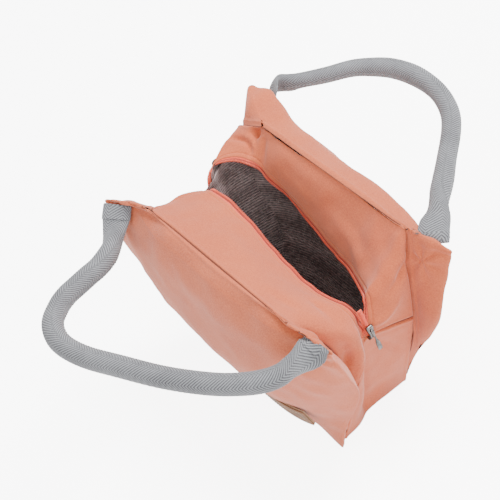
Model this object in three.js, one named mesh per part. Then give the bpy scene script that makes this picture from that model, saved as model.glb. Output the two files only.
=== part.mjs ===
// A soft insulated lunch bag with a zip top and two rope handles, drawn unzipped.
// Millimetres, +Z up. X runs along the zip with the slider end at +X, the front faces -Y,
// and the origin is the middle of the base on the surface that the bag stands on.
import * as THREE from "three";

// Driving dimensions
const baseHalfLength = 100;
const baseHalfDepth = 52;
const bellyHeight = 120;
const bellyHalfLength = 146;
const shoulderHeight = 204;
const seamHeight = 215;
const seamHalfDepth = 75;
const earReach = 150;
const endSeamHeight = 138;
const endBulge = 119;
const cloth = 1;
const foam = 3;
const lining = 0.8;
const layerGap = 1;
const handleDiameter = 20;
const ropeDiameter = 14;
const webbingWidth = 30;
const handleHeight = 197;
const chainWidth = 6;
const chainHeight = 2.4;
const tapeEdge = 1.2;
const frontEarDepths = [90, 70];
const backEarDepths = [100, 84];
const bellyDepth = 102;
const endFoldTop = 172;
const endFoldTopReach = 108;
const webbingThickness = 2;
const flatEndLength = 20;
const labelLength = 84;
const labelHeight = 30;
const labelThickness = 2;

// Depths below the outer face at which each layer starts
const foamDepth = cloth + layerGap;
const liningDepth = foamDepth + foam + layerGap;

const looks = {
  fabric: { color: 0xe29a80, roughness: 0.9, metalness: 0 },
  foam: { color: 0xe8e4da, roughness: 1, metalness: 0 },
  lining: { color: 0x4b3e3e, roughness: 0.45, metalness: 0 },
  zip: { color: 0xf56e55, roughness: 0.6, metalness: 0 },
  webbing: { color: 0xa5a5aa, roughness: 0.85, metalness: 0 },
  rope: { color: 0xd8d4c8, roughness: 0.95, metalness: 0 },
  metal: { color: 0xc8c8c8, roughness: 0.25, metalness: 1 },
  leather: { color: 0x8a6a45, roughness: 0.7, metalness: 0 },
  board: { color: 0x3a3a3a, roughness: 0.8, metalness: 0 },
};

const bag = new THREE.Group();

function add(name, look, geometry) {
  const mesh = new THREE.Mesh(geometry, new THREE.MeshStandardMaterial(looks[look]));
  mesh.name = name;
  bag.add(mesh);
  return mesh;
}

const point = (x, y, z) => new THREE.Vector3(x, y, z);

// The point at share t, 0 to 1, of a smooth curve through the points.
function along(points, t) {
  return new THREE.CatmullRomCurve3(points, false, "catmullrom", 0.5).getPoint(t);
}

// The lines of a grid across a net, as shares. Each layer stops at its own margin line.
const margins = [0.006, 0.04, 0.065];
function lines(count) {
  const inner = Array.from({ length: count - 1 }, (_, k) => (k + 1) / count);
  return [...margins, ...inner, ...margins.map((m) => 1 - m).reverse()];
}

// Samples a net, which is rows of points, on the lines of a smooth surface through it.
function sample(net, columns, rows) {
  return lines(rows).map((v) =>
    lines(columns).map((u) =>
      along(
        net.map((row) => along(row, u)),
        v,
      ),
    ),
  );
}

// Unit normals of a grid, on the side where rows run up and columns run left to right.
function normals(grid) {
  const last = grid.length - 1;
  const end = grid[0].length - 1;
  return grid.map((line, j) =>
    line.map((_, i) => {
      const across = line[Math.min(i + 1, end)].clone().sub(line[Math.max(i - 1, 0)]);
      const up = grid[Math.min(j + 1, last)][i].clone().sub(grid[Math.max(j - 1, 0)][i]);
      return across.cross(up).normalize();
    }),
  );
}

// Leaves out the outer lines of a grid.
function trim(grid, count) {
  return grid.slice(count, grid.length - count).map((line) => line.slice(count, line.length - count));
}

// A closed solid between two grids of the same size, the first one on the outside.
function solidBetween(outer, inner) {
  const rows = outer.length;
  const columns = outer[0].length;
  const positions = [...outer.flat(), ...inner.flat()].flatMap((p) => p.toArray());
  const at = (j, i, layer) => layer * rows * columns + j * columns + i;
  const index = [];
  const quad = (a, b, c, d) => index.push(a, b, c, a, c, d);
  for (let j = 0; j < rows - 1; j += 1) {
    for (let i = 0; i < columns - 1; i += 1) {
      quad(at(j, i, 0), at(j, i + 1, 0), at(j + 1, i + 1, 0), at(j + 1, i, 0));
      index.push(at(j, i, 1), at(j + 1, i + 1, 1), at(j, i + 1, 1));
      index.push(at(j, i, 1), at(j + 1, i, 1), at(j + 1, i + 1, 1));
    }
  }
  const ring = [];
  for (let i = 0; i < columns - 1; i += 1) ring.push([0, i]);
  for (let j = 0; j < rows - 1; j += 1) ring.push([j, columns - 1]);
  for (let i = columns - 1; i > 0; i -= 1) ring.push([rows - 1, i]);
  for (let j = rows - 1; j > 0; j -= 1) ring.push([j, 0]);
  ring.forEach(([j, i], k) => {
    const [nj, ni] = ring[(k + 1) % ring.length];
    quad(at(j, i, 0), at(j, i, 1), at(nj, ni, 1), at(nj, ni, 0));
  });
  const geometry = new THREE.BufferGeometry();
  geometry.setAttribute("position", new THREE.Float32BufferAttribute(positions, 3));
  geometry.setIndex(index);
  return geometry;
}

// One layer of a sewn panel: it lies from depth to depth + thick under the net's outer face, and
// stops at the margin line of the given number.
function layer(net, columns, rows, depth, thick, margin) {
  const grid = sample(net, columns, rows);
  const out = normals(grid);
  const offset = (d) => grid.map((line, j) => line.map((p, i) => p.clone().addScaledVector(out[j][i], -d)));
  return solidBetween(trim(offset(depth), margin), trim(offset(depth + thick), margin));
}

// The three layers of a wall of the bag: outer cloth, foam and lining.
function wall(name, net, columns, rows) {
  add(name + "_outer", "fabric", layer(net, columns, rows, 0, cloth, 0));
  add(name + "_foam", "foam", layer(net, columns, rows, foamDepth, foam, 1));
  add(name + "_lining", "lining", layer(net, columns, rows, liningDepth, lining, 2));
}

// Front and back panels: narrow at the base, wide ears at the top, a belly between.
// side is -1 for the front and 1 for the back. left and right are the depths of the -X and +X
// ears' tips, and belly is how far the middle of the panel stands out.
function panelNet(side, left, right, belly) {
  const shares = [-1, -0.68, -0.35, 0, 0.35, 0.68, 1];
  const row = (z, halfLength, edges, middle, lift) =>
    shares.map((s) => {
      const edge = s < 0 ? edges[0] : edges[1];
      const depth = middle + (edge - middle) * s ** 4;
      return point(s * halfLength, side * depth, z - lift * s ** 4);
    });
  const low = baseHalfDepth;
  const rows = [
    row(3, baseHalfLength, [low, low], low, 0),
    row(bellyHeight / 2, 126, [low + 12, low], belly - 20, 0),
    row(bellyHeight, bellyHalfLength, [low + 28, low - 5], belly, 0),
    row(165, earReach, [left + 4, right - 10], belly - 3, 0),
    row(shoulderHeight - 4, earReach, [left, right], belly - 11, 5),
    row(seamHeight, earReach - 6, [left, right], seamHalfDepth, 9),
  ];
  return side < 0 ? rows : rows.map((line) => line.slice().reverse());
}
wall("front_panel", panelNet(-1, ...frontEarDepths, bellyDepth), 9, 5);
wall("back_panel", panelNet(1, ...backEarDepths, bellyDepth + 2), 9, 5);

// Gussets: from the inner face of one panel to that of the other, with a fold down the middle.
function gussetNet(side) {
  const row = (z, edge, depth, valley, ridge) => {
    const line = [
      point(side * edge, -depth, z),
      point(side * valley, -depth * 0.5, z),
      point(side * ridge, 0, z + 2),
      point(side * (ridge - 2), depth * 0.5, z),
      point(side * edge, depth, z - 4),
    ];
    return side > 0 ? line : line.reverse();
  };
  return [
    row(6, baseHalfLength - 6, baseHalfDepth - 10, 90, 87),
    row(45, 103, 48, 100, 106),
    row(85, 113, 48, 108, 116),
    row(endSeamHeight - 14, endBulge - 3, 48, 113, endBulge),
  ];
}
wall("right_gusset", gussetNet(1), 6, 4);
wall("left_gusset", gussetNet(-1), 6, 4);

// Base: the outer cloth, a stiff board and its foam, and the lining over them.
function plate(halfLength, halfDepth, low, thick) {
  const corner = 12;
  const shape = new THREE.Shape();
  shape.moveTo(-halfLength + corner, -halfDepth);
  shape.lineTo(halfLength - corner, -halfDepth);
  shape.absarc(halfLength - corner, -halfDepth + corner, corner, -Math.PI / 2, 0);
  shape.lineTo(halfLength, halfDepth - corner);
  shape.absarc(halfLength - corner, halfDepth - corner, corner, 0, Math.PI / 2);
  shape.lineTo(-halfLength + corner, halfDepth);
  shape.absarc(-halfLength + corner, halfDepth - corner, corner, Math.PI / 2, Math.PI);
  shape.lineTo(-halfLength, -halfDepth + corner);
  shape.absarc(-halfLength + corner, -halfDepth + corner, corner, Math.PI, 1.5 * Math.PI);
  const geometry = new THREE.ExtrudeGeometry(shape, { depth: thick, bevelEnabled: false, curveSegments: 4 });
  return geometry.translate(0, 0, low);
}
const boardLow = cloth + 0.3;
const baseFoamLow = boardLow + 2.3;
const baseLiningLow = baseFoamLow + foam + 0.3;
add("base_panel_outer", "fabric", plate(baseHalfLength - 3, baseHalfDepth - 2, 0, cloth));
add("base_board", "board", plate(baseHalfLength - 18, baseHalfDepth - 12, boardLow, 2));
add("base_foam", "foam", plate(baseHalfLength - 22, baseHalfDepth - 14, baseFoamLow, foam));
add("base_lining", "lining", plate(baseHalfLength - 24, baseHalfDepth - 16, baseLiningLow, lining));

// Top panels: each hangs from its top seam to its half of the zip.
const frontChain = [
  point(-92, -7, 196),
  point(-36, -9, 189),
  point(10, -14, 181),
  point(58, -17, 179),
  point(92, -13, 178),
];
const backChain = [
  point(-92, 48, 186),
  point(-58, 52, 168),
  point(-9, 48, 157),
  point(35, 40, 155),
  point(88, 26, 161),
];
const seamLine = (side, chain) =>
  chain.map((p) => point(p.x, side * (seamHalfDepth - 7), seamHeight - 6));
const halfway = (a, b, lift) => a.map((p, i) => p.clone().lerp(b[i], 0.5).add(point(0, 0, lift)));

function topPanel(name, side, chain) {
  const seam = seamLine(side, chain);
  const rows = side < 0 ? [seam, halfway(seam, chain, 4), chain] : [chain, halfway(seam, chain, 2), seam];
  add(name, "fabric", layer(rows, 8, 3, 0, cloth, 0));
  add(name + "_lining", "lining", layer(rows, 8, 3, cloth + layerGap, lining, 1));
}
topPanel("front_top_panel", -1, frontChain);
topPanel("back_top_panel", 1, backChain);

// A bar of square section swept along points, with its centre moved sideways from them.
function strip(points, width, height, shift) {
  const moved = points.map((p) => p.clone().add(shift));
  const path = new THREE.CatmullRomCurve3(moved, false, "catmullrom", 0.5);
  const section = new THREE.Shape();
  section.moveTo(-height / 2, -width / 2);
  section.lineTo(height / 2, -width / 2);
  section.lineTo(height / 2, width / 2);
  section.lineTo(-height / 2, width / 2);
  section.closePath();
  return new THREE.ExtrudeGeometry(section, { steps: 14, bevelEnabled: false, extrudePath: path });
}
add("front_zip_tape", "zip", strip(frontChain, 2.4, tapeEdge, point(0, 2.2, -0.5)));
add("front_zip_teeth", "zip", strip(frontChain, 3, chainHeight, point(0, 5.6, -1)));
add("back_zip_tape", "zip", strip(backChain, 2.4, tapeEdge, point(0, -2.2, -1.5)));
add("back_zip_teeth", "zip", strip(backChain, 3, chainHeight, point(0, -5.6, -2.5)));

// End folds: where the top unit turns down over each end of the bag to its end seam.
function endFoldNet(side) {
  const row = (z, edge, depth, valley, ridge) => {
    const line = [
      point(side * edge, -depth, z),
      point(side * valley, -depth * 0.5, z),
      point(side * ridge, 0, z),
      point(side * (ridge - 1), depth * 0.5, z),
      point(side * edge, depth, z),
    ];
    return side > 0 ? line : line.reverse();
  };
  return [
    row(endSeamHeight - 10, endBulge - 3, 46, 112, endBulge),
    row((endSeamHeight + endFoldTop) / 2, 116, 50, 112, 116),
    row(endFoldTop, 112, 56, endFoldTopReach, endFoldTopReach),
  ];
}
add("right_end_fold", "fabric", layer(endFoldNet(1), 6, 2, 0, cloth, 0));
add("left_end_fold", "fabric", layer(endFoldNet(-1), 6, 2, 0, cloth, 0));
add("right_end_fold_lining", "lining", layer(endFoldNet(1), 6, 2, cloth + layerGap, lining, 1));
add("left_end_fold_lining", "lining", layer(endFoldNet(-1), 6, 2, cloth + layerGap, lining, 1));

// The closed stretch of zip on each end, and the slider and its pull tab on the right one.
const endLean = endBulge - endFoldTopReach;
const endTilt = Math.atan2(endLean, endFoldTop - endSeamHeight);
function onEnd(mesh, side, z, out) {
  const share = (z - endSeamHeight) / (endFoldTop - endSeamHeight);
  mesh.position.set(side * (endBulge - share * endLean + out), 0, z);
  mesh.rotation.y = -side * endTilt;
  return mesh;
}
const endZipLength = 26;
const endZipMiddle = 155;
const endZipOut = 4.6;
const endZip = new THREE.BoxGeometry(chainHeight, chainWidth, endZipLength);
onEnd(add("right_end_zip", "zip", endZip), 1, endZipMiddle, endZipOut);
onEnd(add("left_end_zip", "zip", endZip), -1, endZipMiddle, endZipOut);
const stop = new THREE.BoxGeometry(3, chainWidth + 1, 3);
onEnd(add("zip_bottom_stop", "metal", stop), 1, endZipMiddle - 16, endZipOut + 0.4);

const sliderHeight = endZipMiddle - 6;
const sliderThickness = 5;
const sliderOut = endZipOut + 1.6 + sliderThickness / 2;
const sliderShape = new THREE.Shape();
sliderShape.moveTo(-4.5, 7);
sliderShape.quadraticCurveTo(0, 9, 4.5, 7);
sliderShape.lineTo(3, -6);
sliderShape.quadraticCurveTo(0, -7.5, -3, -6);
sliderShape.closePath();
const sliderBody = new THREE.ExtrudeGeometry(sliderShape, {
  depth: sliderThickness,
  bevelEnabled: false,
  curveSegments: 4,
});
sliderBody.translate(0, 0, -sliderThickness / 2);
sliderBody.rotateX(Math.PI / 2);
sliderBody.rotateZ(Math.PI / 2);
onEnd(add("zip_slider", "metal", sliderBody), 1, sliderHeight, sliderOut);

// The pull tab hangs from the slider's lower end: an eye, a waist and a flat blade.
const tabShape = new THREE.Shape();
tabShape.moveTo(-3.5, 2);
tabShape.quadraticCurveTo(0, 4, 3.5, 2);
tabShape.lineTo(2.2, -6);
tabShape.lineTo(3.2, -18);
tabShape.quadraticCurveTo(0, -22, -3.2, -18);
tabShape.lineTo(-2.2, -6);
tabShape.closePath();
const tab = new THREE.ExtrudeGeometry(tabShape, { depth: 1.6, bevelEnabled: false, curveSegments: 5 });
tab.rotateX(Math.PI / 2);
tab.rotateZ(Math.PI / 2);
onEnd(add("zip_pull_tab", "metal", tab), 1, sliderHeight - 1, sliderOut + sliderThickness / 2 + 0.4);

// Handles: a webbing tube round a rope, from one ear to the other, lying out from the bag.
function circle(radius, sides) {
  return Array.from({ length: sides }, (_, k) => {
    const turn = (2 * Math.PI * k) / sides;
    return new THREE.Vector2(radius * Math.cos(turn), radius * Math.sin(turn));
  });
}
function tube(route, outerRadius, innerRadius, sides) {
  const path = new THREE.CatmullRomCurve3(route, false, "centripetal");
  const section = new THREE.Shape(circle(outerRadius, sides));
  if (innerRadius > 0) section.holes.push(new THREE.Path(circle(innerRadius, sides).reverse()));
  return new THREE.ExtrudeGeometry(section, { steps: 32, bevelEnabled: false, extrudePath: path });
}
const frontRoute = [
  point(-133, -116, handleHeight - 8),
  point(-131, -122, handleHeight - 7),
  point(-117, -127, handleHeight - 5),
  point(-105, -136, handleHeight - 3),
  point(-98, -150, handleHeight - 2),
  point(-95, -174, handleHeight - 1),
  point(-92, -189, handleHeight),
  point(-85, -204, handleHeight),
  point(-72, -219, handleHeight),
  point(-49, -226, handleHeight),
  point(-18, -219, handleHeight),
  point(31, -196, handleHeight),
  point(70, -174, handleHeight),
  point(106, -150, handleHeight),
  point(128, -130, handleHeight),
  point(137, -112, handleHeight - 1),
  point(138, -104, handleHeight - 2),
];
const backRoute = [
  point(-143, 120, handleHeight - 1),
  point(-145, 126, handleHeight + 1),
  point(-148, 134, handleHeight + 3),
  point(-140, 146, handleHeight + 4),
  point(-127, 167, handleHeight + 4),
  point(-111, 195, handleHeight + 4),
  point(-95, 213, handleHeight + 4),
  point(-72, 226, handleHeight + 4),
  point(-45, 232, handleHeight + 4),
  point(-14, 229, handleHeight + 4),
  point(14, 217, handleHeight + 4),
  point(34, 199, handleHeight + 4),
  point(60, 167, handleHeight + 4),
  point(85, 136, handleHeight + 4),
  point(108, 118, handleHeight + 3),
  point(113, 111, handleHeight + 1),
];
const webbingWall = (handleDiameter - ropeDiameter) / 2 - 1;
for (const [name, route] of [["front_handle", frontRoute], ["back_handle", backRoute]]) {
  const inner = handleDiameter / 2 - webbingWall;
  add(name + "_webbing", "webbing", tube(route, handleDiameter / 2, inner, 8));
  add(name + "_rope", "rope", tube(route, ropeDiameter / 2, 0, 6));
}

// The handles' flat webbing ends, sewn to the outer faces of the ears and tipped back with them.
function flatEnd(name, x, depth, side, tilt) {
  const end = new THREE.BoxGeometry(webbingWidth, webbingThickness, flatEndLength);
  const mesh = add(name, "webbing", end);
  mesh.position.set(x, side * depth, shoulderHeight - 14);
  mesh.rotation.x = -side * tilt;
}
flatEnd("front_handle_left_end", -134, 101, -1, 0.3);
flatEnd("front_handle_right_end", 132, 89, -1, 0.3);
flatEnd("back_handle_left_end", -134, 107, 1, 0.1);
flatEnd("back_handle_right_end", 128, 97, 1, 0.1);

// The leather label low on the front panel.
const label = add("leather_label", "leather", new THREE.BoxGeometry(labelLength, labelThickness, labelHeight));
label.position.set(58, -81.9, 58);
label.rotation.set(0.38, 0, 0.038);

export default bag;
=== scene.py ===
"""The looks of the lunch bag: cloth panels, zip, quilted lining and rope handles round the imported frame."""

import math

import bpy
import numpy as np
from mathutils import Matrix, Vector, noise


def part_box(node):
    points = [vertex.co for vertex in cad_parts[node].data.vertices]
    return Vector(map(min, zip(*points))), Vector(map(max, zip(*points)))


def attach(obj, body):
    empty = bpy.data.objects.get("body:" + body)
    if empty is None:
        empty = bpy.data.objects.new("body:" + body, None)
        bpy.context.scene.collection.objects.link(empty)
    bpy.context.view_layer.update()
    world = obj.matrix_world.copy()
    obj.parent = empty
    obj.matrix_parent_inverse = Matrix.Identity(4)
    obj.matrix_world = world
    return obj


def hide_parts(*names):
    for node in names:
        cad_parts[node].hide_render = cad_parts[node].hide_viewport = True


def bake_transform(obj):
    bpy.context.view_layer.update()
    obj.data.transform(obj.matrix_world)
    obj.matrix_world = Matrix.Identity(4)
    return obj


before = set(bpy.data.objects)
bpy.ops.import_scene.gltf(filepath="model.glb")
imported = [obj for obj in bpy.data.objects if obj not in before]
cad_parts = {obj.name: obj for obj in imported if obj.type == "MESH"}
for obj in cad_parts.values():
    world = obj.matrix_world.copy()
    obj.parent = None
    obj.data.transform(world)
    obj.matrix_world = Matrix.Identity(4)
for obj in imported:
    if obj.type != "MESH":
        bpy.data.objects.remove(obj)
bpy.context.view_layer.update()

MM = 0.001

# Driving sizes, in millimetres
CLOTH = 1.3
BASE_CLOTH = 0.9
LINING = 0.8
TOP_LINING = 0.7
SEAM_HEIGHT = 215
MIDDLE_REACH = 55
MIDDLE_HEIGHTS = (60, 150)
HANDLE_DIAMETER = 21
WEBBING_WIDTH = 30
WEBBING_THICKNESS = 2.4
TOOTH_PITCH = 1.5
CHEVRONS = 6
CHEVRON_PITCH = 3.0
CHEVRON_HEIGHT = 0.28
QUILT_PITCH = 3.2
QUILT_DEPTH = 0.35
WEAVE_PITCH = 1.1
TAPE_RIB_PITCH = 1.2
# Size and sides of the dark cords of painted shade along the seams' valleys
SEAM_SHADE_CORD = 1.0
SEAM_SHADE_CORD_SIDES = 6

# Colours, as linear light
SALMON_LIGHT = (0.60, 0.138, 0.047)
SALMON_DARK = (0.44, 0.083, 0.027)
# The lining's tones span its own random tone and the painted shade and highlight of its ribs
LINING_DARK = (0.09, 0.06, 0.058)
LINING_LIGHT = (0.42, 0.31, 0.30)
WEBBING_LIGHT = (0.27, 0.275, 0.29)
WEBBING_DARK = (0.055, 0.055, 0.062)


# ---- curves and grids

def spline(points, shares):
    """Points at shares 0 to 1 of a smooth curve through the points. Works on rows of points too."""
    p = np.asarray(points, float)
    p = np.concatenate([[2 * p[0] - p[1]], p, [2 * p[-1] - p[-2]]])
    t = np.clip(np.asarray(shares, float), 0, 1) * (len(p) - 3)
    k = np.minimum(t.astype(int), len(p) - 4)
    f = (t - k).reshape([-1] + [1] * (p.ndim - 1))
    a, b, c, d = p[k], p[k + 1], p[k + 2], p[k + 3]
    return 0.5 * (2 * b + (c - a) * f + (2 * a - 5 * b + 4 * c - d) * f**2 + (3 * b - a - 3 * c + d) * f**3)


def spaced(count, crowding):
    """Shares from 0 to 1, crowded towards both ends where crowding nears 1."""
    t = np.linspace(0, 1, count)
    return t - crowding * np.sin(2 * math.pi * t) / (2 * math.pi)


def surface(net, columns, rows, crowding=0.0):
    """A grid, rows by columns by 3, on the smooth surface through a net of points."""
    net = np.asarray(net, float)
    across = spline(net.transpose(1, 0, 2), spaced(columns, crowding)).transpose(1, 0, 2)
    return spline(across, spaced(rows, crowding))


def unit(v):
    return v / np.maximum(np.linalg.norm(v, axis=-1, keepdims=True), 1e-9)


def normals(grid):
    """Unit normals, on the side where rows run up and columns run to the right."""
    return unit(np.cross(np.gradient(grid, axis=1), np.gradient(grid, axis=0)))


def arc(points, axis):
    """How far each point of a grid or line is along it, in millimetres."""
    step = np.linalg.norm(np.diff(points, axis=axis), axis=-1)
    return np.concatenate([np.zeros_like(step.take([0], axis)), np.cumsum(step, axis)], axis)


def from_edges(grid, sides):
    """How far each point is from the nearest of the named edges of its grid."""
    up = arc(grid, 0)
    across = arc(grid, 1)
    away = {"bottom": up, "top": up[-1:] - up, "left": across, "right": across[:, -1:] - across}
    return np.min([away[side] for side in sides], 0)


def border(grid):
    """What lies round the edge of a grid, from one corner back towards it."""
    return np.concatenate([grid[0], grid[1:, -1], grid[-1, -2::-1], grid[-2:0:-1, 0]])


def fold_noise(grid, size, seed):
    """Soft noise from -1 to 1 at each point of a grid, with features about size millimetres across."""
    flat = grid.reshape(-1, 3) / size
    values = [noise.noise(Vector((x + seed, y - seed, z + 2 * seed))) for x, y, z in flat]
    return np.array(values).reshape(grid.shape[:-1])


def crumple(grid, amount, seed, size, sides):
    """Moves a grid in and out along its normals, as soft cloth does, and fades out at sewn sides."""
    big = fold_noise(grid, size, seed)
    small = fold_noise(grid, size * 0.42, seed + 7)
    ridged = 1 - 2 * np.abs(fold_noise(grid, size * 0.8, seed + 13))
    fade = 1 - np.exp(-((from_edges(grid, sides) / 9) ** 2))
    return grid + normals(grid) * (fade * amount * (0.8 * big + 0.35 * small + 0.3 * ridged))[..., None]


def inward(grid):
    """Directions from a grid towards the middle of the bag, the same for cloths that share a seam."""
    x, _, z = np.moveaxis(grid, -1, 0)
    along = np.clip(x, -MIDDLE_REACH, MIDDLE_REACH)
    middle = np.stack([along, np.zeros_like(x), np.clip(z, *MIDDLE_HEIGHTS)], -1)
    return unit(middle - grid)


def sew(grid, sides, depth=2.6, width=1.5, puff=0.7):
    """Pulls the sewn edges of a cloth in, and puffs the cloth up beside them."""
    away = from_edges(grid, sides)
    pulled = inward(grid) * (depth * np.exp(-((away / width) ** 2)))[..., None]
    raised = normals(grid) * (puff * np.exp(-(((away - 2.6 * width) / (1.5 * width)) ** 2)))[..., None]
    return grid + pulled + raised


def crease(grid, line, depth, width, shared=False):
    """Folds a cloth inwards along a line, or outwards where depth is negative. A shared crease moves
    two cloths the same way, so it can run along the seam between them."""
    steps = 50
    path = spline(line, np.linspace(0, 1, steps))
    gaps = np.linalg.norm(grid[:, :, None] - path, axis=-1)
    fade = np.sin(np.linspace(0.12, math.pi - 0.12, steps)) ** 0.6
    amount = depth * fade[gaps.argmin(-1)] * np.exp(-((gaps.min(-1) / width) ** 2))
    way = inward(grid) if shared else -normals(grid)
    return grid + way * amount[..., None]


# ---- meshes

def mesh_piece(name, vertices, faces, uvs=None, facing=None):
    """A mesh object from vertices in millimetres. uvs is one pair in metres for each vertex, and
    facing one normal for each."""
    mesh = bpy.data.meshes.new(name)
    mesh.from_pydata((np.asarray(vertices, float) * MM).tolist(), [], faces)
    if uvs is not None:
        layer = mesh.uv_layers.new(name="weave")
        index = np.empty(len(mesh.loops), np.int32)
        mesh.loops.foreach_get("vertex_index", index)
        layer.data.foreach_set("uv", np.asarray(uvs, np.float32)[index].ravel())
    mesh.polygons.foreach_set("use_smooth", [True] * len(mesh.polygons))
    mesh.update()
    if facing is not None:
        mesh.normals_split_custom_set_from_vertices(np.asarray(facing, float).tolist())
    piece = bpy.data.objects.new(name, mesh)
    bpy.context.scene.collection.objects.link(piece)
    return piece


def grid_uvs(grid):
    return np.stack([arc(grid, 1), np.broadcast_to(arc(grid, 0), grid.shape[:2])], -1) * MM


def ring_faces(count, sides):
    """Faces between a count of rings of points, each with the same number of sides."""
    faces = []
    for k in range(count - 1):
        for i in range(sides):
            n = (i + 1) % sides
            faces.append((k * sides + i, k * sides + n, (k + 1) * sides + n, (k + 1) * sides + i))
    return faces


def capped_faces(count, sides):
    """The same, closed at both ends by a fan round one more point each."""
    faces = ring_faces(count, sides)
    first = count * sides
    end = first - sides
    for i in range(sides):
        n = (i + 1) % sides
        faces.append((first, n, i))
        faces.append((first + 1, end + i, end + n))
    return faces


def shell(name, grid, thickness=CLOTH, out=None):
    """A closed sheet: the grid is its outer face, and its edges are round."""
    out = normals(grid) if out is None else out
    rows, columns = grid.shape[:2]
    count = rows * columns
    at = border(np.arange(count).reshape(rows, columns)).tolist()
    inner = grid - out * thickness
    flat = grid.reshape(-1, 3)
    middle = (flat[at] + inner.reshape(-1, 3)[at]) / 2
    around = unit(np.roll(middle, -1, 0) - np.roll(middle, 1, 0))
    edge_out = unit(np.cross(around, out.reshape(-1, 3)[at]))
    rim = middle + edge_out * thickness * 0.45
    vertices = np.concatenate([flat, inner.reshape(-1, 3), rim])
    uvs = grid_uvs(grid).reshape(-1, 2)
    uvs = np.concatenate([uvs, uvs, uvs[at]])
    faces = []
    for j in range(rows - 1):
        for i in range(columns - 1):
            a = j * columns + i
            quad = (a, a + 1, a + columns + 1, a + columns)
            faces.append(quad)
            faces.append(tuple(q + count for q in reversed(quad)))
    size = len(at)
    for k in range(size):
        n = (k + 1) % size
        faces.append((at[k], 2 * count + k, 2 * count + n, at[n]))
        faces.append((2 * count + k, at[k] + count, at[n] + count, 2 * count + n))
    facing = np.concatenate([out.reshape(-1, 3), -out.reshape(-1, 3), edge_out])
    return mesh_piece(name, vertices, faces, uvs, facing)


def tube(name, centres, wide, high, widths, heights, sides, rib=CHEVRON_HEIGHT):
    """A closed tube of oval section, with herringbone ribs of a height standing out from it."""
    turn = np.linspace(0, 2 * math.pi, sides, endpoint=False)
    along = arc(centres, 0)
    girth = math.pi * HANDLE_DIAMETER
    stripe = girth / CHEVRONS
    around = turn / (2 * math.pi) * girth
    zigzag = np.abs((around + stripe) % (2 * stripe) - stripe)
    ribs = rib * np.sin((along[:, None] + zigzag) * 2 * math.pi / CHEVRON_PITCH)
    grown = ribs * np.minimum(heights / HANDLE_DIAMETER, 1)[:, None]
    rings = (
        centres[:, None]
        + wide[:, None] * (np.cos(turn) * (widths[:, None] / 2 + grown))[..., None]
        + high[:, None] * (np.sin(turn) * (heights[:, None] / 2 + grown))[..., None]
    )
    count = len(centres)
    vertices = np.concatenate([rings.reshape(-1, 3), centres[:1], centres[-1:]])
    u = np.repeat(along, sides)
    v = np.tile(around, count)
    uvs = np.concatenate([np.stack([u, v], -1), [[0, 0], [along[-1], 0]]]) * MM
    return mesh_piece(name, vertices, capped_faces(count, sides), uvs)


def scatter(name, template, faces, places, sides, outs, alongs):
    """Copies of a small template, one at each place. Its X, Y and Z lie on sides, outs and alongs."""
    size = len(template)
    turned = (
        places[:, None]
        + sides[:, None] * template[None, :, 0, None]
        + outs[:, None] * template[None, :, 1, None]
        + alongs[:, None] * template[None, :, 2, None]
    )
    every = [tuple(q + k * size for q in f) for k in range(len(places)) for f in faces]
    return mesh_piece(name, turned.reshape(-1, 3), every)


def pebble(width, height, length, sides=8, rings=4):
    """Vertices and faces of a small rounded bar, centred, with its length on Z."""
    turn = np.linspace(0, 2 * math.pi, sides, endpoint=False)
    vertices = []
    for t in np.linspace(-1, 1, rings):
        swell = (1 - abs(t) ** 3) ** 0.5 if abs(t) < 1 else 0.35
        x = width / 2 * swell * np.cos(turn)
        y = height / 2 * swell * np.sin(turn)
        vertices += zip(x, y, np.full(sides, t * length / 2))
    ends = [tuple(range(sides - 1, -1, -1)), tuple(range((rings - 1) * sides, rings * sides))]
    return np.array(vertices), ends + ring_faces(rings, sides)


def read_off(values, far, at):
    """Rows of values, known at distances far along a line, at other distances along it."""
    return np.stack([np.interp(at, far, values[:, k]) for k in range(3)], -1)


def resample(line, step):
    """Evenly spaced points along a line, a step apart or slightly more."""
    far = arc(np.asarray(line), 0)
    count = max(int(far[-1] / step), 2)
    at = np.linspace(0, far[-1], count + 1)
    return read_off(line, far, at)


def stitches(name, line, out, length, gap, width):
    """A row of thread stitches along a line, raised along out."""
    points = resample(line, length + gap)
    outs = unit(read_off(out, arc(line, 0), arc(points, 0)))
    alongs = unit(np.gradient(points, axis=0))
    sides = unit(np.cross(alongs, outs))
    outs = np.cross(sides, alongs)
    template, faces = pebble(width, width * 0.8, length, sides=6)
    middle = (points[:-1] + points[1:]) / 2
    return scatter(name, template, faces, middle + outs[:-1] * 0.2, sides[:-1], outs[:-1], alongs[:-1])


# ---- materials

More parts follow.
